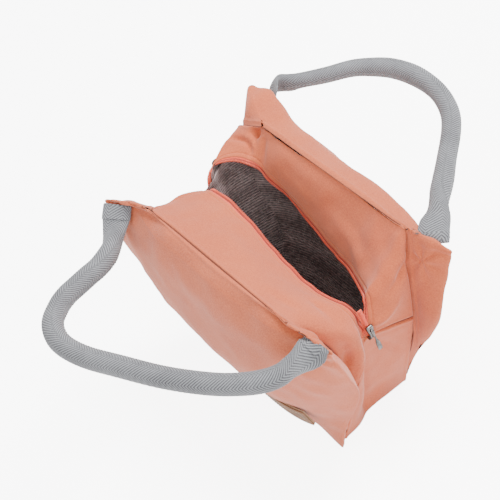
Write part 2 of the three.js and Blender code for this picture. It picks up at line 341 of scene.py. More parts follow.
class Look:
    """A node material under construction."""

    def __init__(self, name):
        self.material = bpy.data.materials.new(name)
        self.material.use_nodes = True
        self.tree = self.material.node_tree
        self.bsdf = self.tree.nodes["Principled BSDF"]
        self.solid = self.node("TexCoord").outputs["Object"]

    def node(self, kind, **settings):
        made = self.tree.nodes.new("ShaderNode" + kind)
        for key, value in settings.items():
            setattr(made, key, value)
        return made

    def link(self, source, target):
        self.tree.links.new(source, target)

    def set(self, **inputs):
        for key, value in inputs.items():
            self.bsdf.inputs[key.replace("_", " ").title()].default_value = value

    def math(self, operation, *values):
        made = self.node("Math", operation=operation)
        for target, value in zip(made.inputs, values):
            if isinstance(value, (int, float)):
                target.default_value = value
            else:
                self.link(value, target)
        return made.outputs[0]

    def wave(self, value, pitch):
        """A sine wave of a value, with a pitch in metres."""
        return self.math("SINE", self.math("MULTIPLY", value, 2 * math.pi / pitch))

    def ways(self):
        """Distances in metres along and across a cloth, from its UV map."""
        made = self.node("SeparateXYZ")
        self.link(self.node("UVMap", uv_map="weave").outputs["UV"], made.inputs[0])
        return made.outputs[0], made.outputs[1]

    def noise(self, scale, detail):
        made = self.node("TexNoise")
        self.link(self.solid, made.inputs["Vector"])
        made.inputs["Scale"].default_value = scale
        made.inputs["Detail"].default_value = detail
        return made.outputs["Fac"]

    def ramp(self, value, *stops):
        made = self.node("ValToRGB")
        self.link(value, made.inputs[0])
        elements = made.color_ramp.elements
        while len(elements) < len(stops):
            elements.new(0.5)
        for element, (position, colour) in zip(elements, stops):
            element.position = position
            element.color = (*colour, 1)
        return made.outputs["Color"]

    def mix(self, share, base, colour):
        """A base with a share of one plain colour mixed in."""
        made = self.node("Mix", data_type="RGBA")
        self.link(share, made.inputs[0])
        self.link(base, made.inputs[6])
        made.inputs[7].default_value = (*colour, 1)
        return made.outputs[2]

    def bump(self, height, strength, distance):
        made = self.node("Bump")
        made.inputs["Strength"].default_value = strength
        made.inputs["Distance"].default_value = distance
        self.link(height, made.inputs["Height"])
        self.link(made.outputs[0], self.bsdf.inputs["Normal"])

    def colour(self, socket):
        self.link(socket, self.bsdf.inputs["Base Color"])

    def rough(self, socket):
        self.link(socket, self.bsdf.inputs["Roughness"])


def cloth_look():
    """A plain weave, with threads that cross."""
    look = Look("salmon_cloth")
    u, v = look.ways()
    pitch = WEAVE_PITCH * MM
    crossed = look.math("MULTIPLY", look.wave(u, pitch), look.wave(v, pitch))
    weave = look.math("MULTIPLY_ADD", crossed, 0.5, 0.5)
    slub = look.noise(800, 2)
    blotch = look.noise(22, 3)
    patchy = look.math("MULTIPLY_ADD", slub, 1.0, look.math("MULTIPLY", blotch, 0.35))
    tone = look.math("MULTIPLY_ADD", weave, 0.15, patchy)
    look.colour(look.ramp(tone, (0.5, SALMON_DARK), (1.0, SALMON_LIGHT)))
    look.set(roughness=0.88, sheen_weight=0.25, sheen_roughness=0.5)
    height = look.math("MULTIPLY_ADD", weave, 0.6, look.math("MULTIPLY", slub, 0.6))
    look.bump(height, 0.35, 0.0004)
    return look.material


def lining_look():
    look = Look("lining_look")
    v = look.ways()[1]
    rib = look.wave(v, QUILT_PITCH * MM)
    wobble = look.noise(300, 3)
    glint_noise = look.noise(900, 1)
    # The colour follows the ribs, lighter on their crests and darker in the grooves between: painted
    # highlight and shade. The wobble is tone that differs at random.
    tone = look.math("MULTIPLY_ADD", rib, 0.22, look.math("MULTIPLY_ADD", wobble, 0.8, 0.1))
    base = look.ramp(tone, (0.25, LINING_DARK), (0.85, LINING_LIGHT))
    # Painted highlights: small pale spots mixed into the colour where the lining would glint
    painted_glints = look.ramp(glint_noise, (0.64, (0, 0, 0)), (0.74, (1, 1, 1)))
    look.colour(look.mix(painted_glints, base, (0.5, 0.47, 0.45)))
    look.set(roughness=0.5, sheen_weight=0.1)
    look.bump(look.math("MULTIPLY_ADD", rib, 0.5, wobble), 0.5, 0.0006)
    return look.material


def webbing_look():
    """Herringbone: diagonal ribs that turn back at each stripe."""
    look = Look("webbing_look")
    u, v = look.ways()
    stripe = math.pi * HANDLE_DIAMETER * MM / CHEVRONS
    slant = look.math("ADD", look.math("PINGPONG", v, stripe), u)
    rib = look.wave(slant, CHEVRON_PITCH * MM)
    fuzz = look.noise(900, 3)
    wear = look.noise(30, 3)
    patchy = look.math("MULTIPLY_ADD", fuzz, 0.5, look.math("MULTIPLY", wear, 0.5))
    tone = look.math("MULTIPLY_ADD", rib, 0.3, patchy)
    look.colour(look.ramp(tone, (0.15, WEBBING_DARK), (0.85, WEBBING_LIGHT)))
    look.set(roughness=0.8, sheen_weight=0.15)
    look.bump(look.math("MULTIPLY_ADD", rib, 0.5, fuzz), 0.5, 0.0006)
    return look.material


def thread_look(name, light, dark, roughness=0.6):
    look = Look(name)
    strand = look.noise(1500, 2)
    look.colour(look.ramp(strand, (0.3, dark), (0.7, light)))
    look.set(roughness=roughness, sheen_weight=0.15)
    look.bump(strand, 0.3, 0.0002)
    return look.material


def tape_look():
    look = Look("zip_tape_look")
    u = look.ways()[0]
    rib = look.wave(u, TAPE_RIB_PITCH * MM)
    fuzz = look.noise(900, 2)
    tone = look.math("MULTIPLY_ADD", rib, 0.2, fuzz)
    look.colour(look.ramp(tone, (0.2, (0.55, 0.055, 0.02)), (0.8, (0.86, 0.13, 0.06))))
    look.set(roughness=0.72, sheen_weight=0.15)
    look.bump(tone, 0.4, 0.0003)
    return look.material


def metal_look():
    look = Look("nickel_look")
    smear = look.noise(260, 4)
    look.colour(look.ramp(smear, (0.3, (0.10, 0.095, 0.09)), (0.7, (0.26, 0.25, 0.24))))
    look.rough(look.ramp(smear, (0.3, (0.16, 0.16, 0.16)), (0.75, (0.34, 0.34, 0.34))))
    look.set(metallic=1.0)
    look.bump(look.noise(1200, 2), 0.1, 0.0001)
    return look.material


def leather_look(name, light, dark):
    look = Look(name)
    cells = look.node("TexVoronoi", feature="DISTANCE_TO_EDGE")
    look.link(look.solid, cells.inputs["Vector"])
    cells.inputs["Scale"].default_value = 900
    grain = look.math("MINIMUM", cells.outputs["Distance"], 0.35)
    patch = look.noise(60, 4)
    look.colour(look.ramp(patch, (0.3, dark), (0.7, light)))
    look.set(roughness=0.62)
    look.bump(grain, 0.4, 0.0003)
    return look.material


salmon = cloth_look()
lining = lining_look()
webbing = webbing_look()
coral_tape = tape_look()
coral_teeth = thread_look("coral_coil", (0.90, 0.16, 0.08), (0.66, 0.07, 0.03), 0.45)
# Painted shade: a dark coral for the strip laid in the groove between a zip's tape and its coil
painted_groove_shade = thread_look("coral_groove_painted_shade", (0.30, 0.03, 0.015), (0.20, 0.018, 0.01), 0.8)
# Painted shade: the dark colour of the cords that stand for the shadow in the seams' valleys
seam_shade = thread_look("seam_shade_cord", (0.17, 0.045, 0.022), (0.10, 0.025, 0.012), 0.9)
grey_thread = thread_look("grey_thread", (0.30, 0.31, 0.33), (0.16, 0.165, 0.18))
nickel = metal_look()
leather = leather_look("brown_leather", (0.25, 0.125, 0.06), (0.14, 0.07, 0.035))
leather_edge = leather_look("leather_edge", (0.42, 0.27, 0.16), (0.30, 0.18, 0.10))
label_thread = thread_look("label_thread", (0.55, 0.42, 0.30), (0.38, 0.28, 0.19))


def finish_piece(piece, material, body, slot, *replaced):
    """Gives a piece its look, rides it on its body and hides what it stands for; the slot is not used."""
    piece.data.materials.clear()
    piece.data.materials.append(material)
    if body:
        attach(piece, body)
    if replaced:
        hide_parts(*replaced)
    return piece


# ---- seams that cloths share

# Side seams of the front and back panels: heights, then reach along X and depth along Y there.
SEAMS = {
    ("front", "left"): (
        (0, 40, 80, 120, 155, 185, 200, 208, 215),
        (99, 106, 113, 119, 119, 117, 113, 108, 105),
        (50, 47, 46, 45, 54, 60, 63, 68, 75),
    ),
    ("front", "right"): (
        (0, 40, 75, 118, 152, 185, 200, 208, 215),
        (109, 115, 122, 118, 117, 113, 109, 107, 105),
        (47, 39, 30, 36, 44, 58, 67, 71, 75),
    ),
    ("back", "left"): (
        (0, 40, 80, 117, 155, 185, 196, 205, 215),
        (99, 105, 112, 124, 135, 143, 142, 128, 105),
        (50, 47, 49, 57, 66, 74, 71, 71, 75),
    ),
    ("back", "right"): (
        (0, 40, 80, 117, 153, 190, 201, 208, 215),
        (100, 109, 121, 124, 120, 112, 108, 106, 105),
        (50, 50, 51, 56, 61, 67, 72, 74, 75),
    ),
}


def seam_at(panel, end, z):
    """A point of a side seam at a height."""
    heights, reach, depth = SEAMS[panel, end]
    sign_x = -1 if end == "left" else 1
    sign_y = -1 if panel == "front" else 1
    return (sign_x * float(np.interp(z, heights, reach)), sign_y * float(np.interp(z, heights, depth)), z)


# ---- front and back panels

PANEL_SHARES = [-1, -0.95, -0.87, -0.76, -0.55, -0.3, 0, 0.3, 0.55, 0.76, 0.87, 0.95, 1]

# Each row: height, depth of the middle, then for the -X and +X ears: reach, depth of the edge,
# how far the cloth swells before the edge, and lift.
FRONT_ROWS = [
    (0, 50, (98, 51, 0, 0), (114, 53, 0, 0)),
    (10, 56, (103, 54, 0, 0), (117, 55, 0, 0)),
    (40, 72, (118, 62, 0, 0), (122, 50, 0, 0)),
    (80, 92, (134, 72, 0, 0), (138, 46, 0, 0)),
    (115, 101, (146, 82, 0, 0), (148, 44, 0, 0)),
    (150, 101, (151, 92, 0, 0), (151, 53, 0, 0)),
    (180, 97, (153, 96, -3, 0), (151, 62, 0, 0)),
    (200, 89, (153, 95, -11, 0), (151, 68, -7, 0)),
    (207, 84, (152, 93, -13, -1), (150, 68, -12, -2)),
    (215, 75, (105, 75, 0, 0), (105, 75, 0, 0)),
]
BACK_ROWS = [
    (0, 50, (98, 51, 0, 0), (97, 49, 0, 0)),
    (10, 58, (102, 54, 0, 0), (100, 51, 0, 0)),
    (40, 76, (116, 62, 0, 0), (110, 54, 0, 0)),
    (80, 93, (132, 72, 0, 0), (128, 56, 0, 0)),
    (115, 104, (146, 83, 0, 0), (145, 60, 0, 0)),
    (150, 108, (152, 92, 0, 0), (151, 68, 0, 0)),
    (185, 106, (154, 98, 3, 0), (149, 81, 0, 0)),
    (200, 101, (154, 99, 6, 8), (147, 88, -9, 0)),
    (208, 96, (154, 100, 9, 9), (145, 88, -11, -1)),
    (215, 75, (105, 75, 0, 0), (105, 75, 0, 0)),
]
EAR_THICKNESS = 6
EAR_FADE = 25
TIP_ROUND = 1.5

# How much nearer a panel's +X half is than its -X half, and how far below the seam that fades in.
SKEW = {"front": 0, "back": -13}
SKEW_FADE = 20
SWELL_PLACE = 0.83
SWELL_WIDTH = 0.14


def panel_row(panel, row):
    """One level line of a panel, from its -X side seam round both ears to its +X side seam."""
    side = -1 if panel == "front" else 1
    z, middle, left, right = row
    points = []
    for s in PANEL_SHARES:
        reach, edge, swell, lift = left if s < 0 else right
        far = abs(s)
        depth = middle + (edge - middle) * far**3.5
        depth += swell * math.exp(-(((far - SWELL_PLACE) / SWELL_WIDTH) ** 2))
        depth += SKEW[panel] * s * (1 - s * s) * min(1, (SEAM_HEIGHT - z) / SKEW_FADE)
        level = min(max((far - 0.5) / 0.3, 0), 1)
        points.append((s * reach, side * depth, z + lift * level))

    def wrap(sign, ear, end):
        reach, edge, _, lift = ear
        x, y, _ = seam_at(panel, end, z)
        close = min(1.0, max(0.0, (reach - abs(x)) / EAR_FADE))
        thick = side * EAR_THICKNESS * close
        tip = np.array([sign * (reach - TIP_ROUND * close), side * edge - 0.7 * thick, z + lift])
        seam = np.array([x, y, z])
        inner = np.array([0, -0.35 * thick, 0])
        return [tip, tip * 0.66 + seam * 0.34 + inner, tip * 0.3 + seam * 0.7 + inner, seam]

    return wrap(-1, left, "left")[::-1] + points + wrap(1, right, "right")


def panel_net(panel, rows):
    net = np.array([panel_row(panel, row) for row in rows], float)
    return net if panel == "front" else net[:, ::-1]


def ear_pull(grid, centre, amount, count, reach):
    """Creases that run out from where a handle end pulls on its ear."""
    away = grid - np.array(centre, float)
    far = np.linalg.norm(away, axis=-1)
    turn = np.arctan2(away[..., 0], away[..., 2])
    wave = np.sin(turn * count + 0.6) * np.exp(-((far / reach) ** 2)) * np.clip((far - 5) / 14, 0, 1)
    return grid + normals(grid) * (amount * wave)[..., None]


SEWN = ("top", "left", "right")

# Wide valleys along seams, each a line with its depth and width.
VALLEYS = {
    "front": [([(118, -38, 110), (118, -44, 152), (113, -58, 186), (107, -71, 208)], 2.0, 4)],
    "back": [([(123, 54, 100), (121, 60, 145), (113, 66, 185), (106, 74, 210)], 3.6, 4.5)],
}


def seam_shade_cord(name, line):
    """A dark cord sunk along the bottom of a sewn seam: painted shade where the seam's valley lies in shadow.
    """
    points = resample(line, SEAM_SHADE_CORD * 2)
    along = unit(np.gradient(points, axis=0))
    wide = unit(np.cross(along, inward(points)))
    size = np.full(len(points), SEAM_SHADE_CORD)
    middle = points - inward(points) * SEAM_SHADE_CORD / 2
    cord = tube(name, middle, wide, np.cross(along, wide), size, size, SEAM_SHADE_CORD_SIDES, 0)
    finish_piece(cord, seam_shade, "shell", "fabric")


def make_panel(panel, rows, seed, pulls):
    grid = surface(panel_net(panel, rows), columns=190, rows=120, crowding=0.75)
    grid = crumple(grid, 3.0, seed, 46, SEWN)
    for centre in pulls:
        grid = ear_pull(grid, centre, 1.2, 6, 36)
    for line, depth, width in VALLEYS[panel]:
        grid = crease(grid, line, depth, width, True)
    grid = sew(grid, SEWN)
    left, right = (0, -1) if panel == "front" else (-1, 0)
    seam_shade_cord(f"{panel}_top_seam", grid[-1])
    seam_shade_cord(f"{panel}_left_seam", grid[:, left])
    seam_shade_cord(f"{panel}_right_seam", grid[:, right])
    piece = shell(f"{panel}_panel_cloth", grid)
    finish_piece(piece, salmon, "shell", "fabric", f"{panel}_panel_outer", f"{panel}_panel_foam")
    return grid


front_cloth = make_panel("front", FRONT_ROWS, 3.1, [(-138, -95, 188), (134, -78, 190)])
make_panel("back", BACK_ROWS, 11.7, [(-140, 108, 192), (128, 90, 190)])


# ---- gussets and base

# Where each gusset meets the top cloths, at the +X end. The -X end is its mirror image.
END_SEAM = [(122, -30, 75), (123, -17, 106), (120, -5, 137), (121.5, 24, 129), (124, 56, 117)]
LEFT_END_SEAM = [(-119, -45, 120), (-116, -24, 130), (-119, -5, 137), (-121, 26, 129), (-124, 57, 117)]

# Folds of a gusset below that: valley, ridge and back half, as reach and depth, at heights.
GUSSET_FOLDS = [
    (0, (107, -25), (100, -3), (100, 22)),
    (22, (111, -25), (101, -3), (103, 22)),
    (50, (118, -22), (107, -2), (109, 25)),
]


def gusset_net(end):
    sign = -1 if end == "left" else 1
    rows = []
    for z, *folds in GUSSET_FOLDS:
        line = [seam_at("front", end, z)]
        line += [(sign * x, y, z) for x, y in folds]
        line.append(seam_at("back", end, z))
        rows.append(line)
    top = END_SEAM if end == "right" else LEFT_END_SEAM
    rows.append(list((np.array(rows[-1], float) + top) / 2))
    rows.append(top)
    net = np.array(rows, float)
    return net if sign > 0 else net[:, ::-1]


# Folds in a gusset, each a line with its depth and width, at the +X end.
GUSSET_CREASES = [
    ([(122, -9, 122), (113, -8, 72), (106, -8, 30), (102, -8, 4)], 4.5, 5),
    ([(121, 4, 124), (118, 22, 100), (113, 40, 70)], 2.2, 5),
]


def make_gusset(end, seed):
    grid = surface(gusset_net(end), columns=90, rows=80, crowding=0.7)
    grid = crumple(grid, 1.3, seed, 34, SEWN)
    mirror = -1 if end == "left" else 1
    for line, depth, width in GUSSET_CREASES:
        grid = crease(grid, [(mirror * x, y, z) for x, y, z in line], depth, width)
    for panel in ("front", "back"):
        for line, depth, width in VALLEYS[panel]:
            grid = crease(grid, line, depth, width, True)
    grid = sew(grid, SEWN)
    seam_shade_cord(f"{end}_end_seam", grid[-1])
    piece = shell(f"{end}_gusset_cloth", grid)
    finish_piece(piece, salmon, "shell", "fabric", f"{end}_gusset_outer", f"{end}_gusset_foam")


make_gusset("right", 21.3)
make_gusset("left", 27.9)


def flat_grid(half_length, half_depth, z, columns, rows):
    """A flat rectangle, with rows running along X and up Y."""
    along = np.linspace(-half_length, half_length, columns)
    x, y = np.meshgrid(along, np.linspace(-half_depth, half_depth, rows))
    return np.stack([x, y, np.full_like(x, z)], -1)


base = shell("base_cloth", flat_grid(98, 49, 0.2, 40, 24)[:, ::-1], BASE_CLOTH)
finish_piece(base, salmon, "shell", "fabric", "base_panel_outer", "base_board", "base_foam")


# ---- top panels

# Stations along the zip from the -X end to the +X end, each a line from the seam to the zip.
FRONT_STATIONS = [
    LEFT_END_SEAM[:3],
    [seam_at("front", "left", 155), (-117, -28, 159), (-115, -5, 160)],
    [seam_at("front", "left", 185), (-115, -34, 191), (-107, -6, 183)],
    [seam_at("front", "left", 206), (-108, -38, 197), (-95, -9, 193)],
    [(-98, -75, 215), (-94, -42, 202), (-82, -8, 193)],
    [(-70, -75, 215), (-66, -42, 205), (-62, -8, 192)],
    [(-35, -75, 215), (-34, -43, 207), (-34, -9, 188)],
    [(5, -75, 215), (6, -45, 204), (8, -14, 183)],
    [(45, -75, 215), (46, -47, 202), (48, -18, 179)],
    [(80, -75, 215), (80, -47, 200), (80, -15, 176)],
    [(103, -74, 214), (99, -42, 192), (98, -9, 172)],
    [seam_at("front", "right", 190), (113, -36, 180), (108, -6, 163)],
    [seam_at("front", "right", 152), (123, -21, 158), (114, -5, 152)],
    [seam_at("front", "right", 112), (124, -20, 130), (118, -5, 144)],
    END_SEAM[:3],
]
BACK_STATIONS = [
    LEFT_END_SEAM[:1:-1],
    [seam_at("back", "left", 155), (-133, 36, 160), (-120, 5, 160)],
    [seam_at("back", "left", 183), (-137, 42, 190), (-123, 10, 183)],
    [seam_at("back", "left", 196), (-134, 51, 196), (-126, 26, 189)],
    [seam_at("back", "left", 206), (-121, 58, 200), (-115, 40, 191)],
    [(-107, 76, 213), (-107, 62, 200), (-102, 49, 187)],
    [(-97, 75, 215), (-97, 62, 198), (-92, 54, 180)],
    [(-75, 75, 215), (-76, 60, 193), (-77, 53, 175)],
    [(-40, 75, 215), (-43, 58, 187), (-45, 53, 163)],
    [(-5, 75, 215), (-7, 57, 184), (-8, 48, 157)],
    [(32, 75, 215), (31, 54, 184), (31, 42, 153)],
    [(65, 75, 215), (63, 50, 186), (63, 34, 156)],
    [(92, 75, 215), (90, 48, 188), (90, 25, 160)],
    [(105, 75, 214), (105, 44, 190), (104, 18, 166)],
    [seam_at("back", "right", 190), (116, 38, 176), (110, 12, 160)],
    [seam_at("back", "right", 153), (121, 32, 152), (115, 6, 149)],
    END_SEAM[:1:-1],
]

# Folds in the top cloths, each a line with its depth and width.
FRONT_CREASES = [
    ([(88, -28, 190), (103, -31, 176), (112, -31, 160), (118, -28, 140), (121, -32, 118)], 7, 5.5),
    ([(119, -14, 158), (122, -15, 138), (124, -17, 115), (123, -25, 92)], -3.6, 4.5),
    ([(-101, -72, 213), (-108, -60, 206), (-112, -50, 201)], 2.2, 2),
    ([(60, -60, 208), (85, -55, 202), (100, -52, 195)], 1.8, 5),
]
BACK_CREASES = [
    ([(103, 17, 167), (106, 34, 177), (109, 52, 186), (111, 63, 191)], -3.2, 3),
    ([(111, 15, 158), (114, 33, 167), (116, 50, 177), (116, 60, 184)], 5, 5),
    ([(119, 7, 145), (121, 24, 146), (120, 42, 158)], -2.4, 4),
    ([(-134, 52, 194), (-124, 56, 196), (-114, 58, 195), (-108, 55, 190), (-107, 50, 186)], 8, 3),
    ([(-118, 66, 201), (-112, 68, 204), (-105, 69, 206)], 3, 3),
    ([(-108, 75, 212), (-111, 71, 206), (-109, 66, 200), (-104, 62, 193)], 4.5, 3.2),
    ([(-98, 70, 206), (-95, 64, 199), (-91, 57, 188)], 3.0, 4.5),
    ([(-80, 70, 208), (-40, 66, 200), (0, 62, 193), (50, 57, 186)], -1.2, 9),
    ([(10, 60, 192), (50, 58, 184), (92, 42, 178)], 2.6, 8),
]
HEM = 4.0
HEM_DEPTH = 0.6
HEM_STITCH = 0.9

# The lining of a top panel starts this many rows from its seam.
LINING_START = 12


def top_net(stations, panel):
    """Rows from seam to zip, with columns along X. On the back they run from zip to seam."""
    rows = np.stack([spline(station, np.linspace(0, 1, 5)) for station in stations], 1)
    return rows if panel == "front" else rows[::-1]


def halves(grid):
    """A grid cut across its middle column into its -X and +X halves."""
    middle = grid.shape[1] // 2
    return grid[:, : middle + 1], grid[:, middle:]


def finish_flap_piece(piece, panel, end, material, slot, *replaced):
    """Gives a piece of a top panel its look and hides what it stands for, with no body to ride on."""
    finish_piece(piece, material, None, slot, *replaced)
    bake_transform(piece)


def make_top(panel, stations, creases, seed):
    free = "top" if panel == "front" else "bottom"
    sewn = ("left", "right", "bottom" if panel == "front" else "top")
    whole = surface(top_net(stations, panel), columns=241, rows=64, crowding=0.7)
    whole = crumple(whole, 2.6, seed, 42, sewn)
    for line, depth, width in creases:
        whole = crease(whole, line, depth, width)
    for line, depth, width in VALLEYS[panel]:
        whole = crease(whole, line, depth, width, True)
    whole = sew(whole, sewn)
    hem = from_edges(whole, (free,))
    groove = HEM_DEPTH * np.exp(-(((hem - HEM) / HEM_STITCH) ** 2))
    whole = whole - normals(whole) * groove[..., None]
    out = normals(whole)
    clear = slice(LINING_START, None) if panel == "front" else slice(None, -LINING_START)
    for half, face, end, word in zip(halves(whole), halves(out), (-1, 1), ("left", "right")):
        outer = shell(f"{panel}_top_{word}_cloth", half, CLOTH, face)
        nodes = (f"{panel}_top_panel", f"{word}_end_fold")
        finish_flap_piece(outer, panel, end, salmon, "fabric", *nodes)
        under = (half - face * (CLOTH + TOP_LINING))[clear]
        inner = shell(f"{panel}_top_{word}_lining", under, TOP_LINING, face[clear])
        nodes = (f"{panel}_top_panel_lining", f"{word}_end_fold_lining")
        finish_flap_piece(inner, panel, end, lining, "lining", *nodes)
    return whole


front_top = make_top("front", FRONT_STATIONS, FRONT_CREASES, 41.2)
back_top = make_top("back", BACK_STATIONS, BACK_CREASES, 57.4)


# ---- zip

TAPE_SHOWN = 3.5
TAPE_HIDDEN = 4
COIL_REACH = 4.9
COIL_LENGTH = 3.2
# Reaches from the panel's edge of the dark strip of painted shade beside the coil
GROOVE_SHADE_REACHES = (2.5, 2.9, 3.4)
ZIP_TAPE = 0.8
TOOTH = (0.95, 2.2)


def zip_half(panel, whole):
    """The tape and coil along a top panel's free edge."""
    rows = whole if panel == "front" else whole[::-1]
    edge = rows[-1]
    cross = unit(edge - rows[-9])
    out = normals(whole)[-1 if panel == "front" else 0]
    lines = [edge - cross * TAPE_HIDDEN - out * 1.9]
    lines += [edge + cross * TAPE_SHOWN * s - out * (0.7 + 0.5 * s) for s in np.linspace(0, 1, 5)]
    lines.append(edge + cross * COIL_REACH - out * 1.6)
    tape = np.stack(lines if panel == "front" else lines[::-1])
    # A dark strip on the tape beside the coil: painted shade in the groove there
    groove = np.stack([edge + cross * reach - out * 0.75 for reach in GROOVE_SHADE_REACHES])
    groove = groove if panel == "front" else groove[::-1]
    strips = (("tape", ZIP_TAPE, coral_tape, tape), ("groove", ZIP_TAPE / 2, painted_groove_shade, groove))
    for part, thick, material, strip in strips:
        faces_out = normals(strip)
        for sheet, face, end, word in zip(halves(strip), halves(faces_out), (-1, 1), ("left", "right")):
            piece = shell(f"{panel}_zip_{part}_{word}", sheet, thick, face)
            finish_flap_piece(piece, panel, end, material, "zip", f"{panel}_zip_tape")
    coil = edge + cross * COIL_REACH - out * 0.7
    middle = len(coil) // 2
    template, faces = pebble(*TOOTH, COIL_LENGTH)
    for part, end, word in ((slice(0, middle + 1), -1, "left"), (slice(middle, None), 1, "right")):
        points = resample(coil[part], TOOTH_PITCH)
        ways = unit(read_off(cross[part], arc(coil[part], 0), arc(points, 0)))
        alongs = unit(np.gradient(points, axis=0))
        outs = unit(np.cross(alongs, ways))
        teeth = scatter(f"{panel}_zip_teeth_{word}", template, faces, points, alongs, outs, ways)
        finish_flap_piece(teeth, panel, end, coral_teeth, "zip", f"{panel}_zip_teeth")


zip_half("front", front_top)
zip_half("back", back_top)


# ---- lining

# Each row: height, reach, depth, how much the ends curve in, and how much further the back wall
# reaches at the -X end.
WALL_LINING = [
    (8, 82, 32, 0.3, 0),
    (12, 88, 44, 0.4, 0),
    (35, 94, 58, 0.42, 0),
    (70, 102, 76, 0.42, 0),
    (110, 106, 88, 0.4, 5),
    (150, 106, 90, 0.35, 16),
    (180, 100, 85, 0.2, 24),
    (202, 92, 71, 0.0, 10),
]

# Each row: height, then reach and depth across the end.
LOW_END_LINING = [
    (8, (76, -40), (79, -20), (80, 0), (79, 20), (76, 40)),
    (40, (84, -52), (87, -26), (88, 0), (87, 26), (84, 52)),
]
RIGHT_END_LINING = LOW_END_LINING + [
    (80, (92, -58), (95, -29), (96, 0), (95, 29), (92, 58)),
    (112, (100, -56), (103, -29), (104, 0), (103, 29), (100, 56)),
    (130, (104, -50), (107, -25), (108, 0), (107, 25), (104, 50)),
    (150, (99, -44), (102, -22), (103, 0), (102, 22), (99, 44)),
]
LEFT_END_LINING = LOW_END_LINING + [
    (80, (92, -58), (95, -29), (96, 0), (96, 29), (93, 58)),
    (112, (100, -52), (103, -27), (104, 0), (108, 30), (108, 62)),
    (135, (104, -50), (108, -25), (110, 0), (118, 30), (118, 63)),
    (158, (104, -46), (108, -22), (112, 2), (124, 30), (124, 65)),
    (181, (98, -40), (103, -20), (112, 4), (126, 32), (124, 67)),
]


def ribbed(grid):
    ribs = np.sin(arc(grid, 0) * 2 * math.pi / QUILT_PITCH)
    return grid + normals(grid) * (QUILT_DEPTH * ribs)[..., None]


def make_lining(name, net, seed, node, flat, area):
    grid = surface(net, columns=70, rows=420)
    sags = fold_noise(grid, 40, seed) * 2.4 + fold_noise(grid, 15, seed + 5) * 0.8
    grid = ribbed(grid + normals(grid) * sags[..., None])
    piece = shell(name, grid, LINING)
    finish_piece(piece, lining, "shell", "lining", node)


def wall_lining_net(side):
    net = []
    for z, reach, depth, curl, extra in WALL_LINING:
        row = []
        for s in (-1, -0.85, -0.5, 0, 0.5, 0.85, 1):
            far = extra * s**4 if side > 0 and s < 0 else 0
            row.append((s * (reach + far), side * depth * (1 - curl * abs(s) ** 5), z))
        net.append(row)
    return np.array(net, float)[:, ::-side]


def end_lining_net(side, rows):
    net = [[(side * reach, depth, z) for reach, depth in places] for z, *places in rows]
    return np.array(net, float)[:, ::-side]


# Flat sizes and flat areas of the cut linings, in metres.
WALL_CUT = ((0.27, 0.23), 0.053)
END_CUT = ((0.12, 0.16), 0.0155)

make_lining("front_wall_lining", wall_lining_net(-1), 71.0, "front_panel_lining", *WALL_CUT)
make_lining("back_wall_lining", wall_lining_net(1), 77.0, "back_panel_lining", *WALL_CUT)
make_lining("right_end_lining", end_lining_net(1, RIGHT_END_LINING), 83.0, "right_gusset_lining", *END_CUT)
make_lining("left_end_lining", end_lining_net(-1, LEFT_END_LINING), 89.0, "left_gusset_lining", *END_CUT)
floor_lining = shell("base_lining_cloth", ribbed(flat_grid(86, 42, 9.6, 60, 220)), LINING)
finish_piece(floor_lining, lining, "shell", "lining", "base_lining")


# ---- handles

# Each station: place, direction of the webbing's width, width and thickness.
ROUND = (HANDLE_DIAMETER, HANDLE_DIAMETER)
SLIM = (HANDLE_DIAMETER - 1.5, HANDLE_DIAMETER - 1.5)
FLAT = (WEBBING_WIDTH, WEBBING_THICKNESS)
FRONT_HANDLE = [
    ((-141, -88, 206), (0.86, 0.5, 0), *FLAT),
    ((-138.5, -92, 202), (0.86, 0.5, 0), *FLAT),
    ((-135, -97, 197.5), (0.85, 0.5, 0), 30, 3.4),
    ((-130, -103.5, 192.5), (0.85, 0.45, 0.1), 28, 8),
    ((-122.5, -111.5, 190), (0.75, 0.35, 0.3), 24.5, 15),
    ((-113, -121, 191), (0.6, 0.3, 0.6), 22, 19),
    ((-105, -132, 193), (0.5, 0.2, 0.8), *ROUND),
    ((-99, -146, 194.5), (0.4, 0.1, 0.9), *ROUND),
    ((-97, -160, 195), (0.2, 0.1, 0.9), *ROUND),
    ((-95, -175, 195), (0.2, 0.1, 1), *ROUND),
    ((-92, -189, 196), (0.1, 0.1, 1), *ROUND),
    ((-86, -203, 196), (0, 0.1, 1), *ROUND),
    ((-72, -219, 197), (0, 0.1, 1), *ROUND),
    ((-49, -226, 197), (0, 0, 1), *ROUND),
    ((-19, -220, 197), (0, 0, 1), *ROUND),
    ((17, -203, 197), (0, 0, 1), *ROUND),
    ((58, -182, 197), (0, 0, 1), *ROUND),
    ((94, -158, 197), (0, 0, 1), *ROUND),
    ((116, -138, 197), (0, 0, 1), *ROUND),
    ((128, -122, 197), (0, 0, 1), *ROUND),
    ((133, -109, 197), (-0.05, 0, 1), 22, 19),
    ((134, -98, 198), (-0.15, 0, 0.98), 25, 13),
    ((135.5, -88, 199), (-0.25, 0, 0.97), 30, 6.5),
    ((137.5, -80.5, 201), (-0.6, 0, 0.8), 30, 3.2),
    ((138.5, -74.5, 203.5), (-0.9, 0, 0.35), *FLAT),
    ((138.5, -69.5, 206), (-1, 0.05, 0), *FLAT),
    ((138.5, -66, 208), (-1, 0.05, 0), *FLAT),
]
